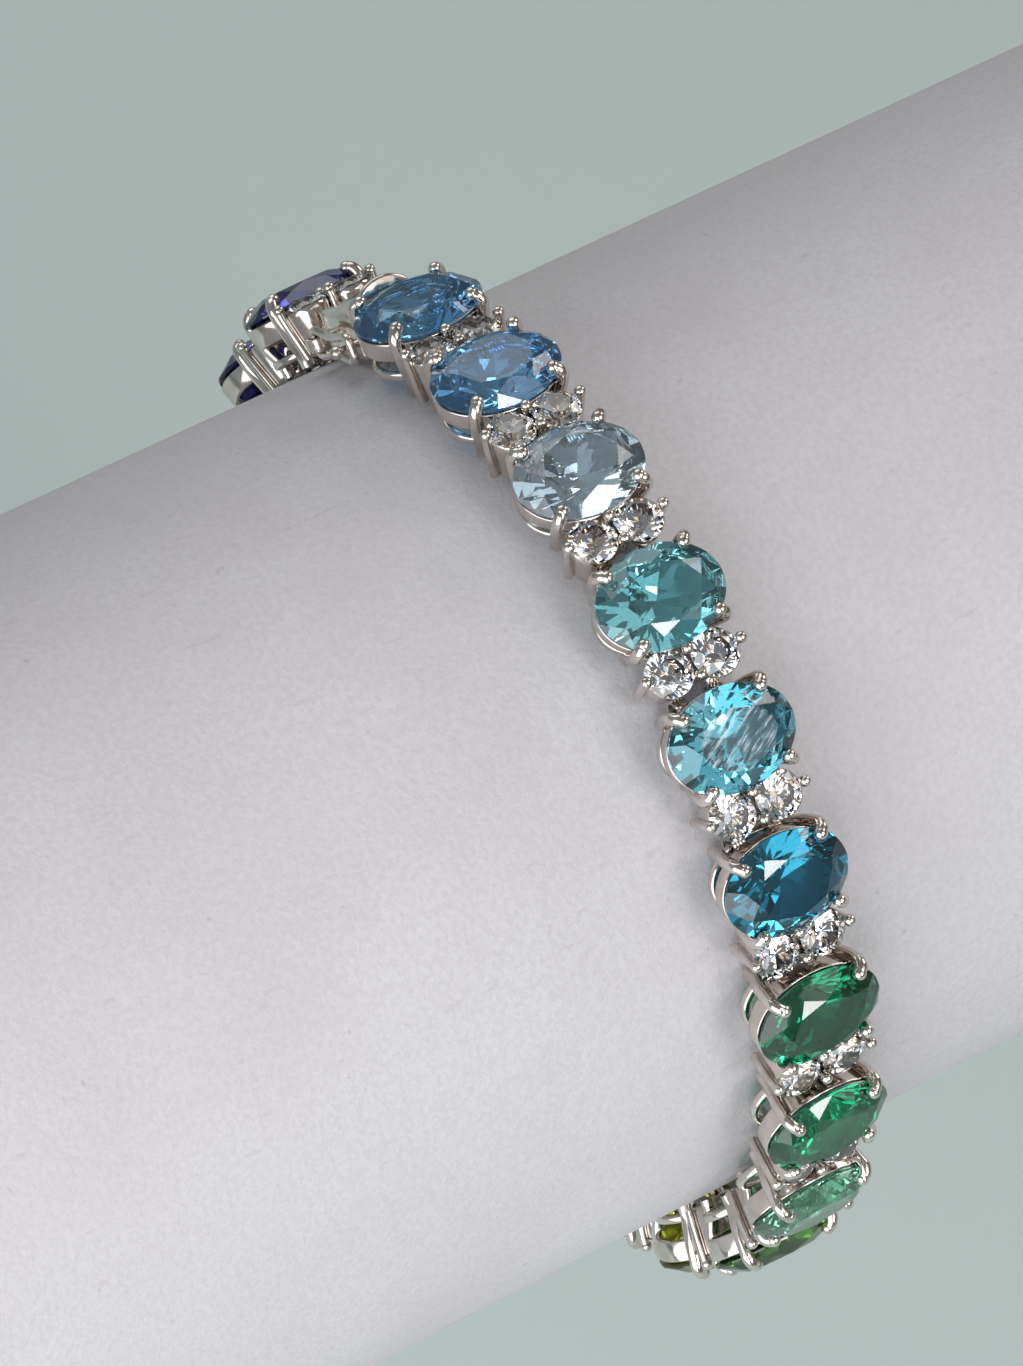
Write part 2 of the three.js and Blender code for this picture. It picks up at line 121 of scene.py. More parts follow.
# Colours, as red, green and blue from 0 to 255
SILVER_DULL, SILVER_BRIGHT = (208, 197, 188), (228, 221, 215)
# The two fire tints are painted glints: coloured flashes of dispersed light, put into the white stones'
# colour.
PAINTED_FIRE_WARM, PAINTED_FIRE_COOL = (255, 228, 200), (212, 230, 255)
SCUFF_COLOUR = (216, 230, 242)
PAPER_DARK, PAPER_LIGHT = (203, 199, 203), (209, 206, 210)
GRAIN_COLOUR, FIBRE_COLOUR, FLECK_COLOUR = (190, 186, 189), (182, 177, 181), (160, 154, 156)
FLOOR_DARK, FLOOR_LIGHT = (186, 197, 195), (192, 203, 201)
ROOM_COOL, ROOM_WARM = (140, 150, 153), (112, 102, 95)

# Each oval's name and its two tones, in their order from the clasp
STONES = [
    ("oval_medium_blue", (96, 188, 255), (142, 214, 255)),
    ("oval_sky_blue", (104, 190, 255), (150, 216, 255)),
    ("oval_pale_blue", (208, 237, 255), (230, 246, 255)),
    ("oval_aqua", (110, 202, 214), (146, 218, 226)),
    ("oval_turquoise", (72, 168, 192), (106, 190, 208)),
    ("oval_teal", (34, 138, 170), (54, 158, 188)),
    ("oval_emerald", (3, 138, 97), (12, 158, 112)),
    ("oval_green", (22, 176, 124), (52, 200, 150)),
    ("oval_sea_green", (132, 222, 184), (164, 234, 206)),
    ("oval_dark_green", (62, 128, 36), (88, 150, 52)),
    ("oval_yellow_green", (180, 196, 44), (204, 214, 74)),
    ("oval_yellow", (236, 218, 56), (244, 230, 92)),
    ("oval_amber", (242, 178, 56), (246, 196, 92)),
    ("oval_orange", (238, 126, 50), (244, 152, 80)),
    ("oval_red", (212, 54, 48), (226, 86, 76)),
    ("oval_ruby", (194, 34, 84), (212, 66, 108)),
    ("oval_pink", (216, 98, 172), (230, 132, 192)),
    ("oval_purple", (156, 76, 192), (178, 108, 212)),
    ("oval_violet", (106, 72, 188), (132, 100, 208)),
    ("oval_indigo", (54, 58, 156), (76, 82, 178)),
    ("oval_navy", (40, 48, 142), (58, 70, 162)),
]
SCUFFED = "oval_turquoise"

# What the light does in the stones, and how the scuffed one's strokes lie on its table
GEM_IOR, GEM_CLEAR, WHITE_IOR = 1.76, 0.94, 2.15
SCUFF_TURN = math.radians(31)
SCUFF_STRETCH = 6
SCUFF_START, SCUFF_FULL = 0.08, 0.03  # in millimetres under the table


# Materials

def material(name, **sockets):
    made = bpy.data.materials.new(name)
    made.use_nodes = True
    shader = made.node_tree.nodes["Principled BSDF"]
    for socket, value in sockets.items():
        shader.inputs[socket.replace("_", " ")].default_value = value
    return made, made.node_tree, shader


def node(tree, kind, inputs=None, **settings):
    made = tree.nodes.new(kind)
    for name, value in settings.items():
        setattr(made, name, value)
    for name, value in (inputs or {}).items():
        made.inputs[name].default_value = value
    return made


def linear(colour):
    """A colour from 0 to 255 as the shader's linear light."""
    values = [c / 255 for c in colour]
    return [c / 12.92 if c <= 0.04045 else ((c + 0.055) / 1.055) ** 2.4 for c in values] + [1.0]


def noise(tree, scale, detail=2.0, roughness=0.5, stretch=(1, 1, 1)):
    place = node(tree, "ShaderNodeTexCoord")
    size = node(tree, "ShaderNodeMapping", {"Scale": stretch})
    made = node(tree, "ShaderNodeTexNoise", {"Scale": scale, "Detail": detail, "Roughness": roughness})
    tree.links.new(place.outputs["Object"], size.inputs["Vector"])
    tree.links.new(size.outputs["Vector"], made.inputs["Vector"])
    return made.outputs["Fac"]


def spread(tree, factor, low, high, start=0.35, end=0.65):
    """What runs from start to end, made to run from low to high."""
    made = node(tree, "ShaderNodeMapRange",
                {"From Min": start, "From Max": end, "To Min": low, "To Max": high})
    tree.links.new(factor, made.inputs["Value"])
    return made.outputs["Result"]


def mix(tree, factor, first, second):
    """Two colours, or a colour over one that is already made, along a factor."""
    made = node(tree, "ShaderNodeMix", data_type="RGBA")
    tree.links.new(factor, made.inputs["Factor"])
    if isinstance(first, bpy.types.NodeSocket):
        tree.links.new(first, made.inputs["A"])
    else:
        made.inputs["A"].default_value = linear(first)
    made.inputs["B"].default_value = linear(second)
    return made.outputs["Result"]


def bump(tree, shader, height, strength, distance):
    made = node(tree, "ShaderNodeBump", {"Strength": strength, "Distance": distance * MM})
    tree.links.new(height, made.inputs["Height"])
    tree.links.new(made.outputs["Normal"], shader.inputs["Normal"])


def silver(name, polished, worn):
    """Silver with a faint tarnish and fine wear, between two roughnesses."""
    made, tree, shader = material(name, Metallic=1.0)
    tarnish = spread(tree, noise(tree, scale=700, detail=3), 0, 1)
    wear = spread(tree, noise(tree, scale=1900, detail=3), polished, worn)
    tree.links.new(mix(tree, tarnish, SILVER_DULL, SILVER_BRIGHT), shader.inputs["Base Color"])
    tree.links.new(wear, shader.inputs["Roughness"])
    bump(tree, shader, noise(tree, scale=4200), strength=0.12, distance=0.02)
    return made


def scuffs(tree, there):
    """Fine strokes across a stone's table, from 0 to 1."""
    place = node(tree, "ShaderNodeTexCoord")
    turn = there.to_3x3() @ Matrix.Rotation(SCUFF_TURN, 3, "Z")
    along = node(tree, "ShaderNodeMapping", {"Rotation": turn.to_euler(), "Scale": (SCUFF_STRETCH, 1, 1)},
                 vector_type="TEXTURE")
    strokes = node(tree, "ShaderNodeTexNoise", {"Scale": 4200.0, "Detail": 3.0, "Roughness": 0.6})
    height = node(tree, "ShaderNodeVectorMath", {1: turn.col[2]}, operation="DOT_PRODUCT")
    both = node(tree, "ShaderNodeMath", operation="MULTIPLY")
    tree.links.new(place.outputs["Object"], along.inputs["Vector"])
    tree.links.new(along.outputs["Vector"], strokes.inputs["Vector"])
    tree.links.new(place.outputs["Object"], height.inputs[0])
    top = BASE_RADIUS + TABLE_HEIGHT
    on_table = spread(tree, height.outputs["Value"], 0, 1,
                      start=(top - SCUFF_START) * MM, end=(top - SCUFF_FULL) * MM)
    tree.links.new(spread(tree, strokes.outputs["Fac"], 0, 1, start=0.46, end=0.66), both.inputs[0])
    tree.links.new(on_table, both.inputs[1])
    return both.outputs["Value"]


def gem(name, colour, pale, there, scuffed=False):
    """A coloured cut stone, with a faint second tone in it."""
    made, tree, shader = material(name, Transmission_Weight=GEM_CLEAR, IOR=GEM_IOR)
    tint = mix(tree, spread(tree, noise(tree, scale=230, detail=1), 0, 1), colour, pale)
    wear = spread(tree, noise(tree, scale=2600), 0.0, 0.018)
    if scuffed:
        strokes = scuffs(tree, there)
        tint = mix(tree, strokes, tint, SCUFF_COLOUR)
        wear = spread(tree, strokes, 0.0, 0.4, start=0, end=1)
        clear = spread(tree, strokes, 0.96, 0.5, start=0, end=1)
        tree.links.new(clear, shader.inputs["Transmission Weight"])
    tree.links.new(tint, shader.inputs["Base Color"])
    tree.links.new(wear, shader.inputs["Roughness"])
    return made


def white_stone():
    """A colourless cut stone, with faint warm and cool fire painted into its colour: painted coloured glints
    of dispersed light, in random patches.
    """
    made, tree, shader = material("white_stone", Transmission_Weight=1.0, IOR=WHITE_IOR)
    # Painted fire: warm and cool patches of colour that stand in for coloured glints of dispersed light.
    painted_fire = spread(tree, noise(tree, scale=2100, detail=1), 0, 1, start=0.4, end=0.6)
    wear = spread(tree, noise(tree, scale=3000), 0.0, 0.012)
    tree.links.new(mix(tree, painted_fire, PAINTED_FIRE_WARM, PAINTED_FIRE_COOL), shader.inputs["Base Color"])
    tree.links.new(wear, shader.inputs["Roughness"])
    return made


def paper():
    """Pale lilac-grey paper with grain, soft dents and a few fibres."""
    made, tree, shader = material("roll_paper", Roughness=0.92, Specular_IOR_Level=0.2)
    cloud = spread(tree, noise(tree, scale=90, detail=3), 0, 1, start=0.3, end=0.7)
    grain = noise(tree, scale=2600, detail=3, roughness=0.6)
    grain = spread(tree, grain, 0.0, 0.4, start=0.38, end=0.62)
    fibre = noise(tree, scale=420, stretch=(1, 3.2, 3.2))
    fibre = spread(tree, fibre, 0.0, 0.35, start=0.68, end=0.76)
    fleck = spread(tree, noise(tree, scale=1300, detail=1), 0.0, 0.3, start=0.78, end=0.8)
    base = mix(tree, cloud, PAPER_DARK, PAPER_LIGHT)
    base = mix(tree, grain, base, GRAIN_COLOUR)
    base = mix(tree, fibre, base, FIBRE_COLOUR)
    base = mix(tree, fleck, base, FLECK_COLOUR)
    tree.links.new(base, shader.inputs["Base Color"])
    dents = noise(tree, scale=2800, detail=4, roughness=0.65)
    bump(tree, shader, dents, strength=0.5, distance=0.12)
    return made


def floor_paint():
    made, tree, shader = material("floor_paint", Roughness=0.8)
    cloud = spread(tree, noise(tree, scale=4), 0, 1)
    tree.links.new(mix(tree, cloud, FLOOR_DARK, FLOOR_LIGHT), shader.inputs["Base Color"])
    return made


# Shapes, as lists of points and faces in millimetres

class Shape:
    def __init__(self):
        self.points = []
        self.faces = []

    def add(self, made):
        points, faces = made
        start = len(self.points)
        self.points += [tuple(p) for p in points]
        self.faces += [tuple(start + i for i in face) for face in faces]

    def mesh(self, name, sharp=None):
        """The shape as a mesh. Edges over an angle stay sharp, and without one each face is flat."""
        mesh = bpy.data.meshes.new(name)
        mesh.from_pydata(self.points, [], self.faces)
        work = bmesh.new()
        work.from_mesh(mesh)
        bmesh.ops.remove_doubles(work, verts=work.verts, dist=MERGE)
        bmesh.ops.recalc_face_normals(work, faces=work.faces)
        work.to_mesh(mesh)
        work.free()
        if sharp is not None:
            mesh.shade_smooth()
            mesh.set_sharp_from_angle(angle=math.radians(sharp))
        return mesh


def place_piece(name, mesh, finish, transform, body):
    """A copy of a mesh, moved from its own millimetres to its place in the frame."""
    own = mesh.copy()
    own.name = name
    own.transform(Matrix.Scale(MM, 4) @ transform)
    own.materials.append(finish)
    piece = bpy.data.objects.new(name, own)
    bpy.context.scene.collection.objects.link(piece)
    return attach(piece, body)


def around(count):
    return [2 * math.pi * k / count for k in range(count)]


def grid(rows, closed=False):
    """Faces between rows of points that each go once round a section."""
    count = len(rows[0])
    points = [p for row in rows for p in row]
    faces = []
    for r in range(len(rows) if closed else len(rows) - 1):
        low = r * count
        high = (r + 1) % len(rows) * count
        for i in range(count):
            j = (i + 1) % count
            faces.append((low + i, low + j, high + j, high + i))
    if not closed:
        faces.append(tuple(reversed(range(count))))
        faces.append(tuple(range(len(points) - count, len(points))))
    return points, faces


def tube(path, radii, sides=16, closed=False):
    """A round rod along a path of points."""
    path = [np.array(p, float) for p in path]
    rows = []
    normal = np.array((0.37, 0.61, 0.7))
    for i, point in enumerate(path):
        after = path[(i + 1) % len(path)] if closed else path[min(i + 1, len(path) - 1)]
        before = path[i - 1] if closed else path[max(i - 1, 0)]
        ahead = (after - before) / np.linalg.norm(after - before)
        normal = normal - normal.dot(ahead) * ahead
        normal = normal / np.linalg.norm(normal)
        side = np.cross(ahead, normal)
        rows.append([point + radii[i] * (math.cos(t) * normal + math.sin(t) * side) for t in around(sides)])
    return grid(rows, closed)


def smooth(points, steps=6):
    """A smooth curve through a few points."""
    points = [np.array(p, float) for p in points]
    out = []
    for i in range(len(points) - 1):
        before = points[max(i - 1, 0)]
        start, end = points[i], points[i + 1]
        after = points[min(i + 2, len(points) - 1)]
        for k in range(steps):
            t = k / steps
            bend = 2 * before - 5 * start + 4 * end - after
            cube = 3 * start - before - 3 * end + after
            out.append(start + 0.5 * ((end - before) * t + bend * t ** 2 + cube * t ** 3))
    out.append(points[-1])
    return out


def ball(centre, radius, rings=12, sides=20):
    rows = []
    for r in range(1, rings):
        angle = math.pi * r / rings
        width = radius * math.sin(angle)
        height = centre[2] - radius * math.cos(angle)
        rows.append([(centre[0] + width * math.cos(t), centre[1] + width * math.sin(t), height)
                     for t in around(sides)])
    return grid(rows)


def rounded(width, height, corner, steps=3):
    """A rectangle with round corners, as [x, y] points round its middle."""
    points = []
    for cx, cy, start in ((1, -1, -90), (1, 1, 0), (-1, 1, 90), (-1, -1, 180)):
        for k in range(steps + 1):
            angle = math.radians(start + 90 * k / steps)
            points.append((cx * (width / 2 - corner) + corner * math.cos(angle),
                           cy * (height / 2 - corner) + corner * math.sin(angle)))
    return points


def oval_ring(section, a, b, middle, lean=0.0):
    """A ring round the oval stone's axis. The section's points are [outwards, up]."""
    rows = [[((a + out + lean * up) * math.cos(t), OVAL_Y + (b + out + lean * up) * math.sin(t), middle + up)
             for out, up in section] for t in around(RING_STEPS)]
    return grid(rows, closed=True)


def turned(profile, x, y, sides=TURNED_SIDES):
    """A closed profile of [radius, height] points turned round an upright axis."""
    rows = [[(x + r * math.cos(t), y + r * math.sin(t), z) for r, z in profile] for t in around(sides)]
    return grid(rows, closed=True)


def bar_along(section, x, z, start, end):
    """A straight bar along the chain."""
    return grid([[(x + across, y, z + up) for across, up in section] for y in (end, start)])


def bar_across(section, y, z, start, end):
    """A straight bar across the chain."""
    return grid([[(x, y + along, z + up) for along, up in section] for x in (end, start)])


def brilliant(a, b, table, crown, pavilion, girdle, place, lower=0.24, arc=5):
    """A brilliant cut of 57 facets. Flat facets meet the round girdle in a scalloped line."""
    star = (table + 1) / 2
    half_turn = math.cos(math.pi / 8)
    star_up = crown * (1 - star * half_turn) / (1 - table)
    lower_down = pavilion * (1 - lower * half_turn)
    half = girdle / 2

    def at(radius, turn, up):
        angle = math.pi / 4 * turn
        return np.array((radius * math.cos(angle), radius * math.sin(angle), up))

    def edge(inner, turn, level):
        """The facet's round edge: where its plane through three corners meets the stone's outline."""
        first, last = at(1, turn, level), at(1, turn + 0.5, level)
        normal = np.cross(last - first, inner - first)
        points = []
        for k in range(arc + 1):
            point = at(1, turn + 0.5 * k / arc, 0)
            drop = normal[:2].dot(point[:2] - first[:2]) / normal[2]
            points.append(np.array((point[0], point[1], level - drop)))
        return points

    points = []
    faces = []

    def facet(corners):
        faces.append(tuple(range(len(points), len(points) + len(corners))))
        points.extend((p[0] * a + place[0], p[1] * b + place[1], p[2] + place[2]) for p in corners)

    top = half + crown
    culet = at(0, 0, -half - pavilion)
    facet([at(table, i, top) for i in range(8)])
    for i in range(8):
        upper, upper_before = at(star, i + 0.5, half + star_up), at(star, i - 0.5, half + star_up)
        under, under_before = at(lower, i + 0.5, -half - lower_down), at(lower, i - 0.5, -half - lower_down)
        facet([at(table, i, top), upper, at(table, i + 1, top)])
        facet([at(table, i, top), upper_before, at(1, i, half), upper])
        facet([culet, under, at(1, i, -half), under_before])
        for turn in (i, i + 0.5):
            high = edge(upper, turn, half)
            low = edge(under, turn, -half)
            facet([upper, *high])
            facet([under, *reversed(low)])
            for k in range(arc):
                facet([low[k], low[k + 1], high[k + 1], high[k]])
    return points, faces


# One link's metal

def prong(points, radii, tip):
    """A tapered rod on a smooth path, and a ball at its end."""
    path = smooth(points)
    sizes = np.interp(np.linspace(0, 1, len(path)), np.linspace(0, 1, len(radii)), radii)
    return tube(path, sizes), ball(path[-1], tip)


def oval_prong(angle):
    """A prong from the base rail up round the oval's edge. Its path's points are [outwards, up]."""
    edge = math.hypot(OVAL_A * math.cos(angle), OVAL_B * math.sin(angle))
    direction = math.atan2(OVAL_B * math.sin(angle), OVAL_A * math.cos(angle))
    foot = math.hypot(RAIL_A * math.cos(angle), RAIL_B * math.sin(angle)) + 0.12
    path = [
        (foot, 0.05), (foot + 0.1, 0.9), (edge + 0.04, 2.3), (edge + 0.32, GIRDLE - 0.35),
        (edge + 0.36, GIRDLE + 0.12), (edge + 0.18, GIRDLE + 0.5), (edge - 0.14, GIRDLE + 0.66),
    ]
    points = [(r * math.cos(direction), OVAL_Y + r * math.sin(direction), z) for r, z in path]
    return prong(points, PRONG_RADII, PRONG_TIP)


def round_prong(x, y, lean):
    points = [
        (x * 0.86, y + lean * 0.35, 0.35),
        (x * 0.96, y + lean * 0.1, ROUND_LEVEL - 0.9),
        (x, y, ROUND_LEVEL + 0.1),
        (x, y, ROUND_LEVEL + 0.42),
    ]
    return prong(points, SMALL_PRONG_RADII, SMALL_PRONG_TIP)


def cup(x):
    """A round stone's tapered cup with a rounded rim."""
    profile = [
        (0.3, 0.42), (0.9, 0.36), (1.0, 0.44), (1.05, 0.62), (1.42, ROUND_LEVEL - 0.4),
        (1.46, ROUND_LEVEL - 0.14), (1.42, ROUND_LEVEL - 0.06), (1.33, ROUND_LEVEL - 0.1), (0.3, 1.35),
    ]
    return turned(profile, x, PAIR_Y)


def strap_section():
    """The hinge strap's section, [across, out]: ribbed outside and flat inside."""
    points = []
    for k in range(2 * EYE_RIBS + 1):
        groove = EYE_RIB_DEPTH if k % 2 == 0 else 0.0
        points.append((EYE_WIDTH * (k / (2 * EYE_RIBS) - 0.5), EYE_OUT - groove))
    return points + [(EYE_WIDTH / 2 - EYE_BEVEL, EYE_IN), (EYE_BEVEL - EYE_WIDTH / 2, EYE_IN)]


def eye(x):
    rows = [[(x + across, EYE_Y + out * math.cos(t), PIVOT + out * math.sin(t))
             for across, out in strap_section()] for t in around(EYE_STEPS)]
    return grid(rows, closed=True)


def strap(x, start, end):
    """The strap's straight stretch between two places along the chain."""
    section = [(across, out if out > EYE_IN else STRAP_LOW) for across, out in strap_section()]
    return bar_along(section, x, PIVOT, start, end)


def link_metal():
    shape = Shape()
    rail = rounded(RAIL_WIDTH, RAIL_HEIGHT, RAIL_SOFTNESS)
    band = rounded(BAND_WIDTH, BAND_HEIGHT, BAND_SOFTNESS)
    runner = rounded(RUNNER_WIDTH, RUNNER_HEIGHT, RUNNER_SOFTNESS)
    shape.add(oval_ring(rail, RAIL_A, RAIL_B, PIVOT))
    shape.add(oval_ring(band, OVAL_A - BAND_INSET, OVAL_B - BAND_INSET, GIRDLE - BAND_DROP, BAND_LEAN))
    prongs = [oval_prong(angle) for angle in (PRONG_AT, math.pi - PRONG_AT, math.pi + PRONG_AT, -PRONG_AT)]
    outer_x = ROUND_X + ROUND_R + OUTER_PRONG_OUT
    for side in (-1, 1):
        shape.add(cup(side * ROUND_X))
        prongs.append(round_prong(side * outer_x, PAIR_Y + OUTER_PRONG_AHEAD, 0))
        prongs.append(round_prong(0, PAIR_Y + side * SHARED_PRONG_STEP, -side))
        shape.add(eye(side * EYE_X))
        shape.add(strap(side * EYE_X, EYE_Y + EYE_IN, PAIR_Y))
        shape.add(bar_along(runner, side * EYE_X, PIVOT, PAIR_Y, OVAL_Y - RAIL_B))
    for rod, tip in prongs:
        shape.add(rod)
        shape.add(tip)
    return shape


# The clasp

def clasp_box():
    """A box open at the back, with a bail in front and the catch's knuckle on its side."""
    shape = Shape()
    width, height = 2 * BOX_HALF, BOX_TOP - BOX_LOW
    inner_width, inner_height = width - 2 * BOX_WALL, height - 2 * BOX_WALL
    middle = (BOX_TOP + BOX_LOW) / 2
    # Each section's place, width, height and corners, from the inside out
    sections = [
        (BOX_FRONT - BOX_WALL, inner_width, inner_height, 0.12),
        (BOX_BACK + 0.08, inner_width, inner_height, 0.12),
        (BOX_BACK, inner_width + 0.12, inner_height + 0.12, 0.16),
        (BOX_BACK, width - 0.24, height - 0.24, 0.3),
        (BOX_BACK + 0.05, width - 0.06, height - 0.06, 0.36),
        (BOX_BACK + 0.16, width, height, 0.38),
        (BOX_FRONT - 0.3, width, height, 0.38),
        (BOX_FRONT - 0.1, width - 0.1, height - 0.1, 0.36),
        (BOX_FRONT, width - 0.4, height - 0.4, 0.3),
    ]
    shape.add(grid([[(x, y, middle + z) for x, z in rounded(across, up, corner, 5)]
                    for y, across, up, corner in sections]))
    bail_x, bail_y, root_y = BOX_HALF - BAIL_INSET, PITCH / 2, BOX_FRONT - 0.2
    path = smooth([
        (-bail_x, root_y, PIVOT), (-bail_x, bail_y - BAIL_TURN, PIVOT), (BAIL_TURN - bail_x, bail_y, PIVOT),
        (bail_x - BAIL_TURN, bail_y, PIVOT), (bail_x, bail_y - BAIL_TURN, PIVOT), (bail_x, root_y, PIVOT),
    ])
    shape.add(tube(path, [BAIL_WIRE] * len(path)))
    low, high = CATCH_LEVEL - KNUCKLE_HALF, CATCH_LEVEL + KNUCKLE_HALF
    knuckle = [
        (KNUCKLE_HOLE, low + KNUCKLE_BEVEL_IN), (KNUCKLE_HOLE + KNUCKLE_BEVEL_OUT, low),
        (KNUCKLE_RADIUS - KNUCKLE_BEVEL_OUT, low), (KNUCKLE_RADIUS, low + KNUCKLE_BEVEL_OUT),
        (KNUCKLE_RADIUS, high - KNUCKLE_BEVEL_OUT), (KNUCKLE_RADIUS - KNUCKLE_BEVEL_OUT, high),
        (KNUCKLE_HOLE + KNUCKLE_BEVEL_OUT, high), (KNUCKLE_HOLE, high - KNUCKLE_BEVEL_IN),
    ]
    shape.add(turned(knuckle, CATCH_X, CATCH_HINGE_Y, KNUCKLE_SIDES))
    arm = rounded(0.85, 0.66, 0.15)
    shape.add(bar_across(arm, CATCH_HINGE_Y, CATCH_LEVEL, CATCH_X + 0.56, 0.2 - BOX_HALF))
    return shape


def thumb_tab(y, half, low):
    """An upright arched tab with softened edges, on the tongue between the box and the first stone."""
    turns = np.linspace(0, math.pi, ARCH_STEPS)
    arch = [(TAB_HALF * math.cos(t), BOX_TOP + TAB_RISE * math.sin(t)) for t in turns]
    shoulder = TAB_HALF * 0.98
    arch += [(-shoulder, BOX_TOP - 0.1), (-half, low), (half, low), (shoulder, BOX_TOP - 0.1)]
    # Through the tab's thickness, each section's place and its size as shares
    sections = [(-0.5, 0.9), (-0.38, 0.97), (-0.2, 1.0), (0.2, 1.0), (0.38, 0.97), (0.5, 0.9)]
    return grid([[(x * size, y + TAB_THICK * along, BOX_TOP + (z - BOX_TOP) * size) for x, z in arch]
                 for along, size in sections])


def clasp_tongue():
    """A folded leaf with a thumb tab, two eyes and the ball that the catch goes over."""
    shape = Shape()
    half = BOX_HALF - LEAF_INSET
    tip, thumb = BOX_FRONT - 0.75, BOX_BACK - 0.3
    lower_run = LEAF_LOW + 0.15
    leaf = smooth([
        (EYE_Y + 0.55, lower_run), (0.0, lower_run), (tip - 0.2, lower_run), (tip, LEAF_LOW + 0.3),
        (tip - 0.3, LEAF_LOW + 0.42), (thumb + 0.5, LEAF_HIGH - 0.25), (thumb - 0.1, LEAF_HIGH),
        (thumb - 0.15, BOX_TOP),
    ], 4)
    rows = []
    for i, (y, z) in enumerate(leaf):
        ahead = leaf[min(i + 1, len(leaf) - 1)] - leaf[max(i - 1, 0)]
        ahead = ahead / np.linalg.norm(ahead)
        rows.append([(x, y - ahead[1] * t, z + ahead[0] * t)
                     for x, t in rounded(2 * half, LEAF_THICK, LEAF_SOFTNESS)])
    shape.add(grid(rows))
    shape.add(thumb_tab(thumb - 0.15, half, LEAF_HIGH))
    for side in (-1, 1):
        shape.add(eye(side * EYE_X))
        shape.add(strap(side * EYE_X, EYE_Y + EYE_IN, BOX_BACK - 0.2))
    root, end = 0.3 - half, CATCH_X - CATCH_WIRE - POST_LEAD
    shape.add(tube([(root, POST_Y, CATCH_LEVEL), (end, POST_Y, CATCH_LEVEL)], [POST_RADIUS, POST_RADIUS]))
    shape.add(ball((end, POST_Y, CATCH_LEVEL), BALL_RADIUS))
    shape.add(bar_along(rounded(0.5, 1.0, 0.12), root, 1.3, POST_Y - 0.24, POST_Y + 0.24))
    return shape


def safety_catch():
    """A figure-eight wire whose one end turns in the knuckle and whose other goes round the post."""
    middle = (CATCH_HINGE_Y + CATCH_BACK_Y) / 2
    half = (CATCH_HINGE_Y - CATCH_BACK_Y) / 2
    path = []
    for t in around(CATCH_STEPS):
        along = math.copysign(math.sqrt(abs(math.cos(t))), math.cos(t))
        pinch = CATCH_WAIST + (1 - CATCH_WAIST) * along ** 2
        rise = math.copysign(math.sqrt(abs(math.sin(t))), math.sin(t)) * pinch
        path.append((CATCH_X, middle + half * along, CATCH_LEVEL + CATCH_HALF * rise))
    shape = Shape()
    shape.add(tube(path, [CATCH_WIRE] * len(path), CATCH_SIDES, closed=True))
    return shape


# The display roll

def roll_mesh():
    """The paper-covered roll, with softened edges at its ends."""
    low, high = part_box("display_roll")
    radius = (high.z - low.z) / 2 / MM
    left, right = low.x / MM, high.x / MM
    edge, stretches = 0.4, 12
    near = edge * 0.3
    profile = [(left, radius - edge), (left + near, radius - near), (left + edge, radius)]
    profile += [(left + (right - left) * k / stretches, radius) for k in range(1, stretches)]
    profile += [(right - edge, radius), (right - near, radius - near), (right, radius - edge)]
    turns = around(ROLL_SIDES)
    shape = Shape()
    shape.add(grid([[(x, r * math.sin(t), r * math.cos(t)) for t in turns] for x, r in profile]))
    return shape.mesh("roll", ROLL_SHARP)


# The pieces in their places

def at_place(number):
    """From a link's own frame to its place in the loop."""
    turn = Matrix.Rotation(FIRST_ANGLE + number * STEP, 4, "X")
    return turn @ Matrix.Translation((0, 0, BASE_RADIUS))


link_silver = silver("link_silver", 0.05, 0.16)
clasp_silver = silver("clasp_silver", 0.09, 0.24)
clear_stone = white_stone()
oval_cut, round_cuts = Shape(), Shape()
oval_cut.add(brilliant(OVAL_A, OVAL_B, OVAL_TABLE, OVAL_CROWN, OVAL_PAVILION, OVAL_GIRDLE,
                       (0, OVAL_Y, GIRDLE)))
for side in (-1, 1):
    round_cuts.add(brilliant(ROUND_R, ROUND_R, ROUND_TABLE, ROUND_CROWN, ROUND_PAVILION, ROUND_GIRDLE,
                             (side * ROUND_X, PAIR_Y, ROUND_LEVEL), arc=3))
metal_mesh = link_metal().mesh("link_metal", SHARP)
oval_mesh = oval_cut.mesh("oval_gem")
round_mesh = round_cuts.mesh("round_stones")

for i, (slot, colour, pale) in enumerate(STONES):
    number = f"{i + 1:02d}"
    there = at_place(i)
    piece = place_piece(f"link_metal_{number}", metal_mesh, link_silver, there, "bracelet")
    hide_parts(f"link_{number}")
    piece = place_piece(f"round_stones_{number}", round_mesh, clear_stone, there, "bracelet")
    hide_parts(f"link_{number}")
    stone = gem(f"gem_{number}", colour, pale, there, slot == SCUFFED)
    piece = place_piece(f"oval_gem_{number}", oval_mesh, stone, there, "bracelet")
    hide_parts(f"oval_stone_{number}")

CLASP_PIECES = [
    ("clasp_box", clasp_box(), "bracelet"),
    ("clasp_tongue", clasp_tongue(), "bracelet"),
    ("safety_catch", safety_catch(), "safety_catch"),
]
for name, shape, body in CLASP_PIECES:
    piece = place_piece(f"{name}_metal", shape.mesh(name, SHARP), clasp_silver, at_place(CLASP_PLACE), body)
    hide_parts(name)

roll = place_piece("roll_cover", roll_mesh(), paper(), Matrix.Identity(4), "bracelet")
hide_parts("display_roll")


# The floor, lights and camera, in metres

FLOOR_SIZE, FLOOR_HEIGHT = 4.0, -0.13

PLAIN, COOL, FRESH, WARM = (1.0, 1.0, 1.0), (0.97, 0.98, 1.0), (0.97, 1.0, 1.0), (1.0, 0.96, 0.92)

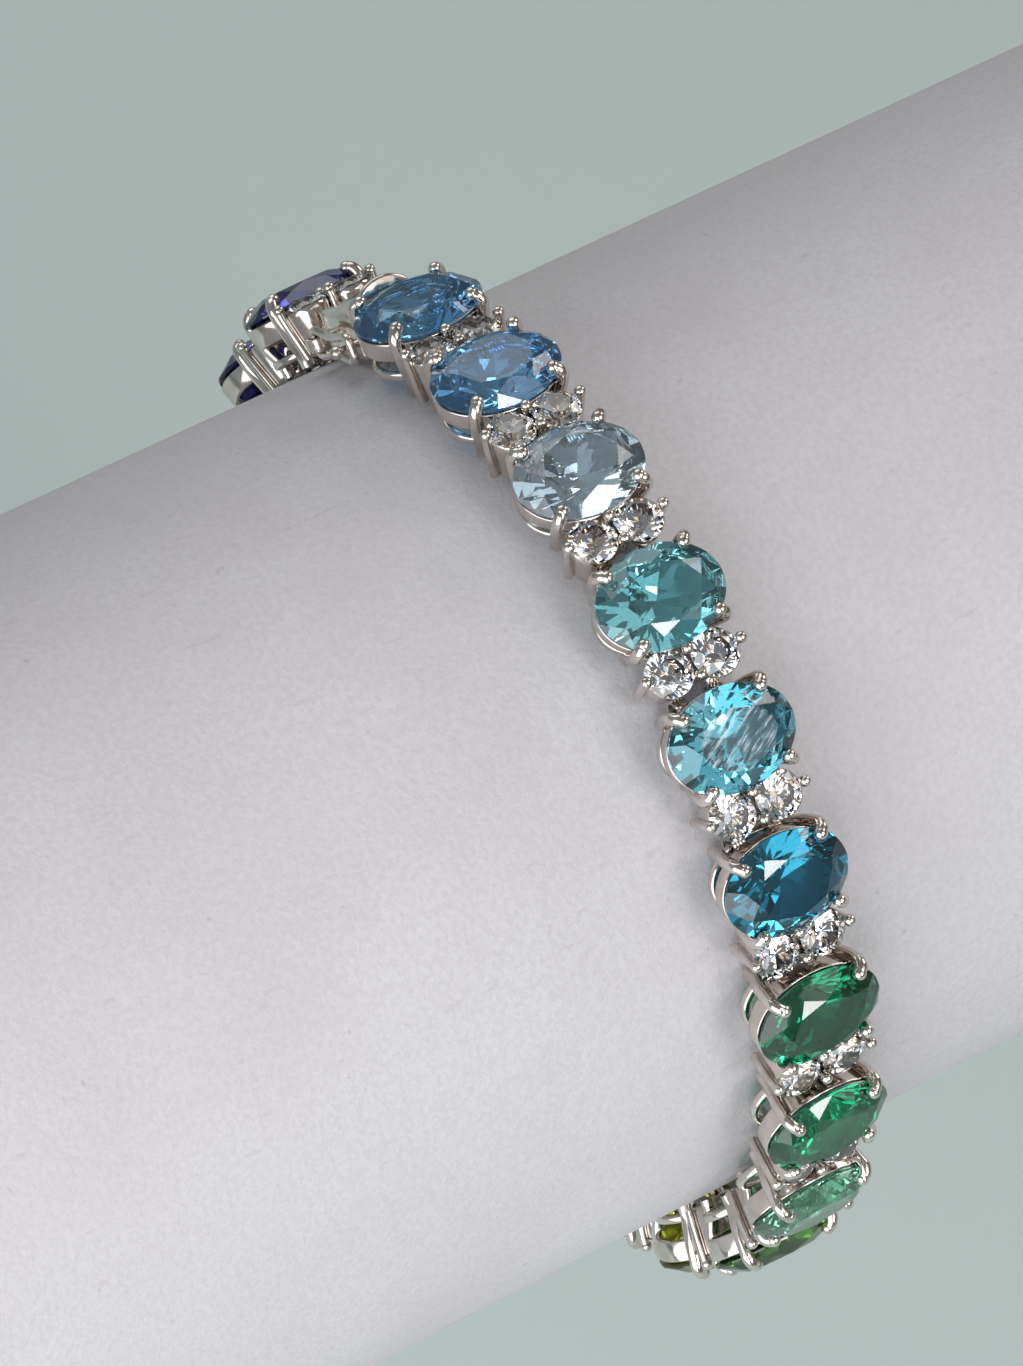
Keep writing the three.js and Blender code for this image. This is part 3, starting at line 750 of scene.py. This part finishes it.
# Each panel's name, direction from the bracelet, distance, size, radiance and colour
PANELS = [
    ("front_panel", (0.36, -0.66, 0.66), 0.8, (0.72, 0.62), 0.78, PLAIN),
    ("left_panel", (-0.80, -0.52, 0.30), 0.34, (0.44, 0.38), 2.25, COOL),
    ("back_panel", (0.10, 0.80, 0.60), 0.9, (0.8, 0.7), 1.15, FRESH),
    ("right_key", (0.84, 0.16, 0.52), 1.8, (0.7, 0.7), 3.3, WARM),
    ("low_flash", (0.13, -0.90, 0.42), 0.9, (0.14, 0.27), 10.0, PLAIN),
    ("side_flash", (0.356, -0.80, 0.485), 0.9, (0.12, 0.12), 10.0, PLAIN),
    ("high_flash", (0.13, -0.62, 0.78), 0.9, (0.19, 0.14), 10.0, PLAIN),
]

CAMERA_PLACE = Vector((-0.1595, -0.2268, 0.3860))
CAMERA_RIGHT = Vector((0.84849, -0.52798, 0.03619))
CAMERA_UP = Vector((0.40799, 0.69614, 0.59070))
CAMERA_NEAR = 0.01
FOCAL_PIXELS = 8000.0
FRAME_HEIGHT = 1366.0
SENSOR = 36.0


def floor():
    half = FLOOR_SIZE / 2
    corners = [(x, y, FLOOR_HEIGHT) for x, y in ((-half, -half), (half, -half), (half, half), (-half, half))]
    mesh = bpy.data.meshes.new("floor")
    mesh.from_pydata(corners, [], [(0, 1, 2, 3)])
    mesh.materials.append(floor_paint())
    piece = bpy.data.objects.new("floor", mesh)
    bpy.context.scene.collection.objects.link(piece)


def softbox(name, direction, distance, size, radiance, colour):
    """A panel of even brightness that faces the bracelet."""
    light = bpy.data.lights.new(name, "AREA")
    light.shape = "RECTANGLE"
    light.size, light.size_y = size
    light.energy = radiance * math.pi * size[0] * size[1]
    light.color = colour
    lamp = bpy.data.objects.new(name, light)
    bpy.context.scene.collection.objects.link(lamp)
    lamp.location = Vector(direction).normalized() * distance
    lamp.rotation_euler = (-lamp.location).to_track_quat("-Z", "Y").to_euler()


def studio_world():
    """A dim room, warmer on the right and cooler on the left."""
    world = bpy.data.worlds.new("studio")
    world.use_nodes = True
    tree = world.node_tree
    place = node(tree, "ShaderNodeTexCoord")
    axes = node(tree, "ShaderNodeSeparateXYZ")
    tree.links.new(place.outputs["Generated"], axes.inputs["Vector"])
    side = spread(tree, axes.outputs["X"], 0, 1, start=-0.8, end=0.8)
    tree.links.new(mix(tree, side, ROOM_COOL, ROOM_WARM), tree.nodes["Background"].inputs["Color"])
    bpy.context.scene.world = world


def photo_camera():
    """The camera at the photo's place, with the photo's framing."""
    camera = bpy.data.objects.new("camera", bpy.data.cameras.new("camera"))
    camera.data.sensor_width = SENSOR
    camera.data.lens = FOCAL_PIXELS / FRAME_HEIGHT * SENSOR
    camera.data.clip_start = CAMERA_NEAR
    axes = Matrix([CAMERA_RIGHT, CAMERA_UP, CAMERA_RIGHT.cross(CAMERA_UP)]).transposed().to_4x4()
    camera.matrix_world = Matrix.Translation(CAMERA_PLACE) @ axes
    bpy.context.scene.collection.objects.link(camera)
    bpy.context.scene.camera = camera


floor()
studio_world()
for panel in PANELS:
    softbox(*panel)
photo_camera()
bpy.context.scene.view_settings.view_transform = "Standard"
